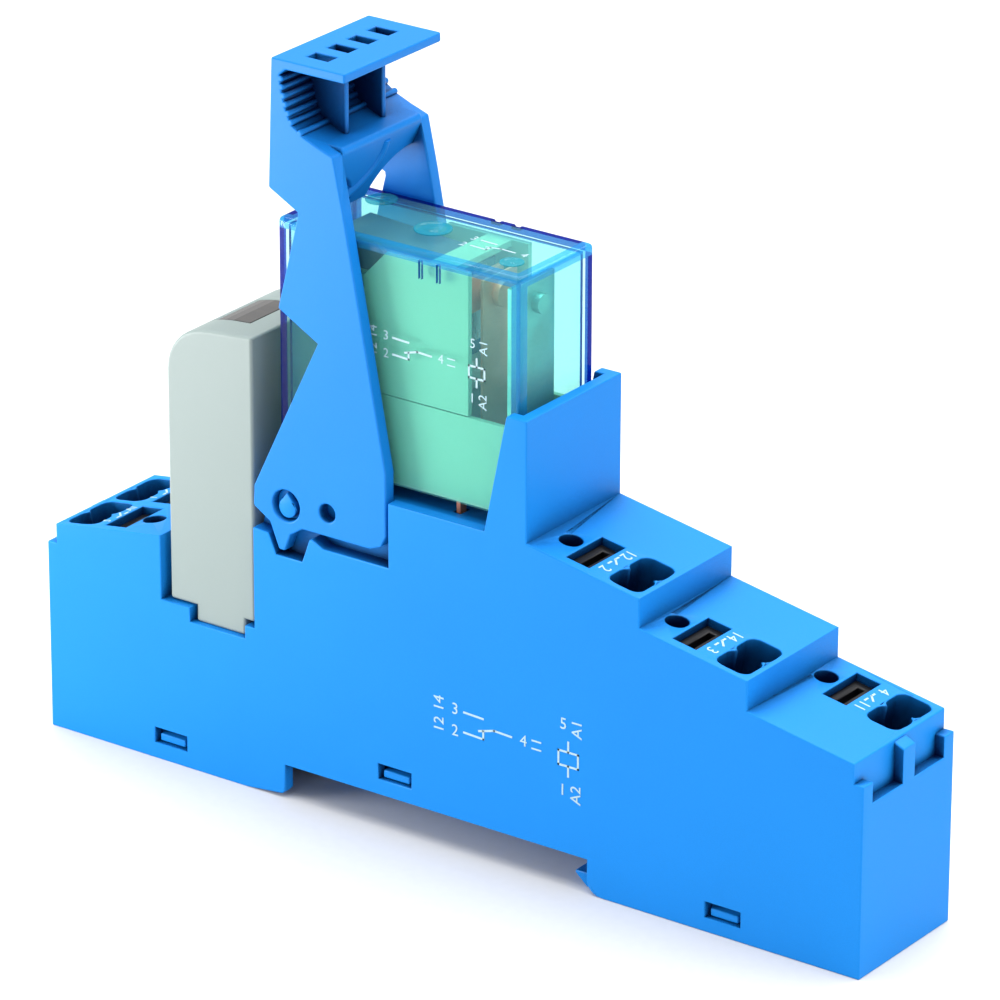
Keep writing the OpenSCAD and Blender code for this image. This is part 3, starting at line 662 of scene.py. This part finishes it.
class CoverOperator(bpy.types.Operator):
    """Clear cover of the relay"""

    bl_idname = "relay.cover"
    bl_label = "Clear cover"

    def execute(self, context):
        sizes = context.scene.relay_sizes
        low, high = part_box("relay_cover")
        wall, corner = sizes.cover_wall, sizes.cover_corner
        cover = block("cover_shell", low, high)
        pick_faces(cover, lambda middle, normal: normal.z < -0.9)
        bpy.ops.mesh.inset(thickness=wall, depth=0)
        bpy.ops.mesh.extrude_region_move(
            TRANSFORM_OT_translate={"value": (0, 0, high.z - low.z - wall)})
        done()
        pick_edges(cover, lambda a, b: max(a.z, b.z) > high.z - wall / 2)
        bpy.ops.mesh.bevel(offset=corner, segments=4, affect="EDGES")
        done()
        for x in NOTCHES:
            cut(cover, block("notch", (x * MM, high.y - wall, high.z - wall / 2),
                             ((x + NOTCH_WIDTH) * MM, high.y + wall, high.z + wall)))
        for x in GROOVES:
            cut(cover, block("groove", (x * MM, low.y - wall, high.z - GROOVE_DEPTH * MM),
                             ((x + GROOVE_WIDTH) * MM, low.y + wall * 0.4, high.z - wall)))
        self.mark_edges(cover, low, high, wall * 1.35)
        only(cover)
        bpy.ops.object.shade_smooth_by_angle(angle=math.radians(40))
        stands_for(cover, "relay", "clear_cover", "relay_cover")
        self.top_marks(high)
        return {"FINISHED"}

    def mark_edges(self, cover, low, high, band):
        """Splits the shell along its edges, where the plastic is seen through its depth.

        The edges between front, right end and top get a lighter tone, a painted highlight where
        the light falls; the other edges and the sides of the cuts get a darker one, painted
        shade.
        """
        dress(cover, "clear", "clear_deep", "clear_light")
        # Slot 1 is the painted shade of the edge bands, slot 2 their painted highlight
        deep, light = 1, 2
        planes = [
            ((low.x + band, 0, 0), (1, 0, 0)), ((high.x - band, 0, 0), (1, 0, 0)),
            ((0, low.y + band, 0), (0, 1, 0)), ((0, high.y - band, 0), (0, 1, 0)),
            ((0, 0, high.z - band), (0, 0, 1)),
        ]
        for point, normal in planes:
            pick_faces(cover, lambda middle, facing: True)
            bpy.ops.mesh.bisect(plane_co=point, plane_no=normal)
            done()
        for face in cover.data.polygons:
            at = face.center
            left, right = at.x < low.x + band, at.x > high.x - band
            front, back = at.y < low.y + band, at.y > high.y - band
            top = at.z > high.z - band
            in_a_cut = any(abs(at.x - x * MM) < 0.45 * MM for x in (-3.5, -2.7, -1.4, -0.3))
            outside = max(abs(at.y), at.z - high.z + high.y) > high.y - band * 1.5
            if in_a_cut and outside and abs(face.normal.x) >= 0.9:
                face.material_index = deep
            elif left + right + front + back + top > 1:
                lit = front + right + top > 1
                face.material_index = light if lit else deep

    def top_marks(self, high):
        """Round moulding marks on the top: a shallow dish with a raised ring and a gate spot."""
        dishes = []
        for x, y, radius in TOP_MARKS:
            bpy.ops.mesh.primitive_cylinder_add(
                vertices=40, radius=radius * MM, depth=0.1 * MM,
                location=(x * MM, y * MM, high.z + 0.055 * MM))
            dish = bpy.context.object
            settle(dish)
            pick_faces(dish, lambda middle, normal: normal.z > 0.9)
            bpy.ops.mesh.inset(thickness=0.22 * MM, depth=0)
            bpy.ops.mesh.inset(thickness=0.1 * MM, depth=-0.07 * MM)
            bpy.ops.mesh.inset(thickness=radius * 0.45 * MM, depth=0)
            bpy.ops.mesh.inset(thickness=0.08 * MM, depth=0.05 * MM)
            done()
            dishes.append(dish)
        marks = joined("cover_mould_marks", dishes)
        bpy.ops.object.shade_smooth_by_angle(angle=math.radians(35))
        dress(marks, "ring")
        stands_for(marks, "relay", "clear_cover")


class WorksOperator(bpy.types.Operator):
    """Coil, magnet, contacts and insulation inside the relay"""

    bl_idname = "relay.works"
    bl_label = "Relay works"

    def execute(self, context):
        sizes = context.scene.relay_sizes
        edge = sizes.metal_edge
        for node in ("relay_base", "insulating_wall", "bobbin"):
            refined(node, "relay", "mint_plastic", edge, ("mint", "mint_worn"))
        refined("yoke", "relay", "steel", edge, ("steel", "steel"))
        refined("coil_core", "relay", "steel", edge, ("steel", "steel"))
        # The armature's body takes the dark blue steel: painted reflection and painted shade
        refined("armature", "armature_body", "steel", edge, ("dark_steel", "steel"))
        refined("actuator", "armature_body", "ivory_plastic", edge, ("ivory", "ivory"))
        refined("moving_contact", "contact_blade", "copper", edge, ("copper", "copper"))
        refined("contact_nc", "relay", "copper", edge, ("copper", "copper"))
        refined("contact_no", "relay", "steel", edge, ("teal_steel", "steel"))
        keep("return_spring", "spring")
        keep("common_terminal", "copper")
        keep("coil_pins", "steel")
        self.barrier(edge)
        self.wind(sizes)
        return {"FINISHED"}

    def barrier(self, edge):
        """The insulating plate between the contacts, with its upper corners cut off."""
        low, high = (Vector(corner) * MM for corner in (BARRIER_LOW, BARRIER_HIGH))
        plate = block("barrier_plate", low, high)
        middle = (low.z + high.z) / 2
        pick_edges(plate, lambda a, b: min(a.z, b.z) > middle and abs(a.y - b.y) > 0.3 * MM)
        bpy.ops.mesh.bevel(offset=BARRIER_CHAMFER, segments=1, affect="EDGES")
        done()
        soften(plate, edge)
        dress(plate, "black", "black")
        stands_for(plate, "relay", "black_plastic")

    def wind(self, sizes):
        """The coil's turns, one modelled and the rest copied up the winding."""
        low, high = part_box("coil_winding")
        radius = sizes.wire / 2
        outer = (high.x - low.x) / 2 - radius
        middle = (low + high) / 2
        count = int((high.z - low.z) / sizes.wire)
        bpy.ops.mesh.primitive_torus_add(
            location=(middle.x, middle.y, low.z + radius), major_segments=56, minor_segments=8,
            major_radius=outer, minor_radius=radius)
        turn = bpy.context.object
        settle(turn)
        turns = [turn]
        for i in range(1, count):
            only(turn)
            bpy.ops.object.duplicate()
            bpy.ops.transform.translate(value=(0, 0, i * sizes.wire))
            settle(bpy.context.object)
            turns.append(bpy.context.object)
        winding = joined("coil_turns", turns)
        bpy.ops.object.shade_smooth_by_angle(angle=math.radians(60))
        dress(winding, "winding")
        stands_for(winding, "relay", "winding", "coil_winding")


class ModuleOperator(bpy.types.Operator):
    """Indicator and suppression module"""

    bl_idname = "relay.module"
    bl_label = "Module"

    def execute(self, context):
        sizes = context.scene.relay_sizes
        refined("module_housing", "module", "grey_plastic", sizes.module_edge,
                ("module", "module_worn"), "module_shell", 3)
        keep("module_lens", "smoked")
        keep("module_board", "board")
        keep("module_led", "led")
        keep("module_diode", "black")
        keep("module_pins", "steel")
        return {"FINISHED"}


class PrintsOperator(bpy.types.Operator):
    """Terminal numbers and contact symbols"""

    bl_idname = "relay.prints"
    bl_label = "Printed marks"

    def execute(self, context):
        self.ink = context.scene.relay_sizes.ink
        low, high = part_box("socket_housing")
        side = self.plane((0, low.y, 0), (1, 0, 0), (0, 0, 1))
        self.sheet("socket_print", "socket", side, self.diagram())
        for t, front, back in RIGHT_MARKS:
            self.terminal_mark(t, front, back, side=1, reach=5.4, size=1.75)
        for t, front, back in LEFT_MARKS:
            self.terminal_mark(t, front, back, side=-1, reach=4.55, size=1.2)
        low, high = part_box("relay_cover")
        panel = self.plane((0, low.y, 0), (1, 0, 0), (0, 0, 1))
        self.sheet("cover_print", "relay", panel, self.diagram(0.8, (-9.2, 39.3)))
        top = self.plane((0, 0, high.z), (1, 0, 0), (0, 1, 0))
        self.sheet("cover_top_print", "relay", top, self.contact(0.8, (-3.2, -12.2)))
        return {"FINISHED"}

    def plane(self, origin, right, up):
        """Where a print lies: right and up on the surface, and its outward side."""
        right, up = Vector(right).normalized(), Vector(up).normalized()
        place = Matrix((right, up, right.cross(up))).transposed().to_4x4()
        return Matrix.Translation(Vector(origin)) @ place

    def contact(self, scale=1.0, shift=(0, 0)):
        """Change-over contact: numbers as text, place and turn, and lines through points."""
        words = [("3", 1.9, 15.45, 0), ("2", 1.9, 13.15, 0), ("4", 10.1, 14.25, 0)]
        lines = [[(3, 15.4), (5.25, 15.3)], [(3, 13.25), (5.3, 13.15), (5.3, 14.0)],
                 [(4.8, 13.9), (6.6, 14.4), (8.65, 14.3)]]
        return words, lines, scale, shift

    def diagram(self, scale=1.0, shift=(0, 0)):
        """Contact and coil with their terminal numbers."""
        words, lines, scale, shift = self.contact(scale, shift)
        words += [("14", 0, 15.6, 90), ("12", 0, 13.35, 90), ("11", 11.7, 14.2, 90),
                  ("5", 14.8, 17.35, 0), ("A1", 16.45, 17.2, 90), ("1", 14.75, 10.35, 0),
                  ("A2", 16.35, 10.2, 90)]
        left, right, base, top = 14.25, 16.55, 13.0, 14.5
        middle = (left + right) / 2
        lines += [[(left, base), (right, base), (right, top), (left, top), (left, base)],
                  [(middle, top), (middle, top + 1.05)], [(middle, base), (middle, base - 1.05)]]
        return words, lines, scale, shift

    def sheet(self, name, body, plane, drawing, size=1.7):
        """One printed drawing as one mesh, riding on its body."""
        words, lines, scale, shift = drawing
        parts = []
        for text, x, y, turn in words:
            parts.append(self.word(text, size * scale, x * scale + shift[0],
                                   y * scale + shift[1], turn, plane))
        for line in lines:
            spots = [(x * scale + shift[0], y * scale + shift[1]) for x, y in line]
            parts += [self.stroke(a, b, 0.21, plane) for a, b in zip(spots, spots[1:])]
        mark = joined(name, parts)
        dress(mark, "ink")
        stands_for(mark, body, "socket_plastic" if body == "socket" else "clear_cover")

    def word(self, text, size, x, y, turn, plane):
        """A number or a few letters, centred on their place and turned by degrees."""
        bpy.ops.object.text_add()
        word = bpy.context.object
        word.data.body = text
        word.data.size = size * MM
        word.data.align_x = word.data.align_y = "CENTER"
        word.data.extrude = self.ink / 2
        word.data.resolution_u = 3
        only(word)
        bpy.ops.object.convert(target="MESH")
        word = bpy.context.object
        word.matrix_world = plane @ Matrix.Translation((x * MM, y * MM, self.ink * 0.6)) \
            @ Matrix.Rotation(math.radians(turn), 4, "Z")
        settle(word)
        return word

    def stroke(self, a, b, width, plane):
        """One straight printed line between two points, its ends overlapping the next."""
        a, b = Vector(a) * MM, Vector(b) * MM
        along = b - a
        reach = along.length + width * MM
        middle = (a + b) / 2
        bpy.ops.mesh.primitive_cube_add(size=1, scale=(reach, width * MM, self.ink))
        line = bpy.context.object
        settle(line)
        line.matrix_world = plane @ Matrix.Translation((middle.x, middle.y, self.ink * 0.6)) \
            @ Matrix.Rotation(math.atan2(along.y, along.x), 4, "Z")
        settle(line)
        return line

    def terminal_mark(self, t, front, back, side, reach, size):
        """A terminal's numbers beside its entry, with a contact symbol between them.

        The reach is how far the mark lies down the step from the test hole, in millimetres.
        """
        hole = next(m for m in frame["record"]["mounts"] if m["name"] == "test_hole_" + t)
        out, across = Vector(hole["axis"]), Vector((0, side, 0))
        down = across.cross(out)
        middle = Vector(hole["pos_m"]) + out * hole["dims"]["length_mm"] / 2 * MM
        plane = self.plane(middle + down * reach * MM, -across, down)
        words = [(back, -1.95, 0, 0), (front, 1.95, 0, 0)]
        lines = [[(-0.8, -0.35), (-0.3, -0.35), (0.4, 0.3)], [(0.4, -0.35), (0.85, -0.35)]]
        self.sheet("print_" + t, "socket", plane, (words, lines, 1.0, (0, 0)), size)


class StageOperator(bpy.types.Operator):
    """Floor, lamps and camera"""

    bl_idname = "relay.stage"
    bl_label = "Stage"

    def execute(self, context):
        settings = context.scene.relay_stage
        bpy.ops.mesh.primitive_plane_add(size=6, location=(0, 0, 0))
        floor = context.object
        floor.name = "floor"
        floor.data.materials.append(stage_floor("floor_paper"))
        floor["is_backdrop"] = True
        self.studio(context.scene, settings.sky)
        low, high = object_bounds()
        middle = (low + high) / 2
        self.lamp("key_lamp", KEY_PLACE, middle, settings.key)
        self.lamp("fill_lamp", FILL_PLACE, middle, settings.fill)
        bpy.ops.object.light_add(type="SUN", location=(0, 0.1, 0.5), rotation=(-0.2, 0, 0))
        sun = context.object
        sun.name = "top_light"
        sun.data.angle = SUN_SPREAD
        sun.data.energy = settings.top
        self.camera(context.scene, settings.lens)
        context.scene.view_settings.view_transform = "Standard"
        return {"FINISHED"}

    def lamp(self, name, place, aim, power):
        """A soft square lamp turned towards the aim."""
        bpy.ops.object.light_add(type="AREA", location=place)
        lamp = bpy.context.object
        lamp.name = name
        lamp.data.size = LAMP_SIZE
        lamp.data.energy = power
        lamp.rotation_euler = (aim - Vector(place)).to_track_quat("-Z", "Y").to_euler()

    def camera(self, scene, lens):
        """The camera, turned about the upright, then up or down, then about its own axis."""
        azimuth, elevation, roll = (math.radians(turn) for turn in CAMERA_TURNS)
        bpy.ops.object.camera_add()
        camera = bpy.context.object
        camera.name = "camera"
        camera.matrix_world = (
            Matrix.Translation(CAMERA_PLACE)
            @ Matrix.Rotation(azimuth, 4, "Z")
            @ Matrix.Rotation(math.pi / 2 - elevation, 4, "X")
            @ Matrix.Rotation(roll, 4, "Z")
        )
        camera.data.lens = lens
        camera.data.sensor_width = 36
        camera.data.clip_start, camera.data.clip_end = 0.05, 20
        scene.camera = camera

    def studio(self, scene, strength):
        """An even light all round, with a white backdrop behind it."""
        world = bpy.data.worlds.new("studio")
        world.use_nodes = True
        world.node_tree.nodes.clear()
        wire = Wire(world.node_tree)
        seen = wire.node("LightPath", out="Is Camera Ray")
        light = wire.node("Background", Color=rgb((1, 1, 1)), Strength=strength)
        backdrop = wire.node("Background", Color=rgb((1, 1, 1)), Strength=1.0)
        both = wire.node("MixShader", at0=seen, at1=light, at2=backdrop)
        out = world.node_tree.nodes.new("ShaderNodeOutputWorld")
        world.node_tree.links.new(both.socket, out.inputs["Surface"])
        scene.world = world


class RelayPanel(bpy.types.Panel):
    """Sizes, colours and steps of the relay"""

    bl_idname = "VIEW3D_PT_relay"
    bl_label = "Relay"
    bl_space_type = "VIEW_3D"
    bl_region_type = "UI"
    bl_category = "Relay"

    def draw(self, context):
        scene = context.scene
        for group in (scene.relay_sizes, scene.relay_colours, scene.relay_stage):
            box = self.layout.box()
            for key in group.bl_rna.properties.keys():
                if key not in ("rna_type", "name"):
                    box.prop(group, key)
        for step in STEPS:
            self.layout.operator(step.bl_idname)


STEPS = (SocketOperator, ButtonsOperator, ClipOperator, CoverOperator, WorksOperator,
         ModuleOperator, PrintsOperator, StageOperator)
GROUPS = {"relay_sizes": RelaySizes, "relay_colours": RelayColours, "relay_stage": StageSettings}


def register():
    for made in (*GROUPS.values(), *STEPS, RelayPanel):
        bpy.utils.register_class(made)
    for name, made in GROUPS.items():
        setattr(bpy.types.Scene, name, PointerProperty(type=made))


def unregister():
    for name in GROUPS:
        delattr(bpy.types.Scene, name)
    for made in (RelayPanel, *STEPS, *GROUPS.values()):
        bpy.utils.unregister_class(made)


def main():
    register()
    make_finishes(bpy.context.scene.relay_colours)
    for step in STEPS:
        family, name = step.bl_idname.split(".")
        getattr(getattr(bpy.ops, family), name)()


if __name__ == "__main__":
    main()
